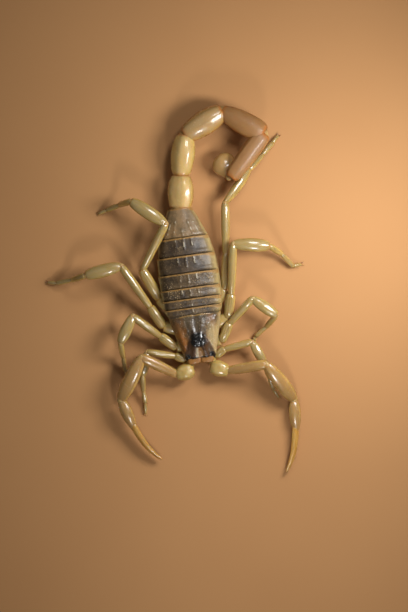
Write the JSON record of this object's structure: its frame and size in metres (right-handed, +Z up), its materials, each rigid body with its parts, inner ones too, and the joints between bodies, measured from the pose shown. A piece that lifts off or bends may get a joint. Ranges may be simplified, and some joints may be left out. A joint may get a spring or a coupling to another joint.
{
  "type": "desert scorpion model",
  "caption": "Life-size still model of a slender-clawed desert scorpion, resting flat with its tail curled to one side, its bulb and sting folded in and its claws reaching forward.",
  "frame": {"origin": "on the floor, on the belly's resting flat under the middle of the trunk", "axes": "+Z up, -Y the way the head points, +X the animal's left"},
  "size_m": [0.0384, 0.0557, 0.0055],
  "materials": {
    "dark_plate": "dark brown, finely granular back plates with ochre rear edges",
    "head_plate": "amber brown shield with black streaks round the eyes",
    "tail_shell": "smooth glossy straw to tan shell with faint keels and orange joint rims",
    "leg_shell": "pale straw translucent shell",
    "claw_shell": "straw to pinkish tan shell with amber fingers",
    "sting": "dark red-brown polished point",
    "eye": "black wet gloss"
  },
  "bodies": {
    "root": {"carapace": "head_plate", "eye_median_left": "eye", "eye_median_right": "eye", "chelicera_left": "claw_shell", "chelicera_right": "claw_shell", "coxosternum": "leg_shell", "mesosoma_1": "dark_plate", "mesosoma_2": "dark_plate", "mesosoma_3": "dark_plate", "mesosoma_4": "dark_plate", "mesosoma_5": "dark_plate", "mesosoma_6": "dark_plate", "mesosoma_7": "dark_plate", "pectine_left": "leg_shell", "pectine_right": "leg_shell", "metasoma_1": "tail_shell", "metasoma_2": "tail_shell", "metasoma_3": "tail_shell", "metasoma_4": "tail_shell", "metasoma_5": "tail_shell", "telson_vesicle": "tail_shell", "telson_sting": "sting", "pedipalp_left_trochanter": "claw_shell", "pedipalp_left_femur": "claw_shell", "pedipalp_left_patella": "claw_shell", "pedipalp_left_hand": "claw_shell", "pedipalp_left_finger": "claw_shell", "pedipalp_right_trochanter": "claw_shell", "pedipalp_right_femur": "claw_shell", "pedipalp_right_patella": "claw_shell", "pedipalp_right_hand": "claw_shell", "pedipalp_right_finger": "claw_shell", "leg_left_1_thigh": "leg_shell", "leg_left_1_patella": "leg_shell", "leg_left_1_foot": "leg_shell", "leg_left_2_thigh": "leg_shell", "leg_left_2_patella": "leg_shell", "leg_left_2_foot": "leg_shell", "leg_left_3_thigh": "leg_shell", "leg_left_3_patella": "leg_shell", "leg_left_3_foot": "leg_shell", "leg_left_4_thigh": "leg_shell", "leg_left_4_patella": "leg_shell", "leg_left_4_foot": "leg_shell", "leg_right_1_thigh": "leg_shell", "leg_right_1_patella": "leg_shell", "leg_right_1_foot": "leg_shell", "leg_right_2_thigh": "leg_shell", "leg_right_2_patella": "leg_shell", "leg_right_2_foot": "leg_shell", "leg_right_3_thigh": "leg_shell", "leg_right_3_patella": "leg_shell", "leg_right_3_foot": "leg_shell", "leg_right_4_thigh": "leg_shell", "leg_right_4_patella": "leg_shell", "leg_right_4_foot": "leg_shell"}
  },
  "joints": []
}
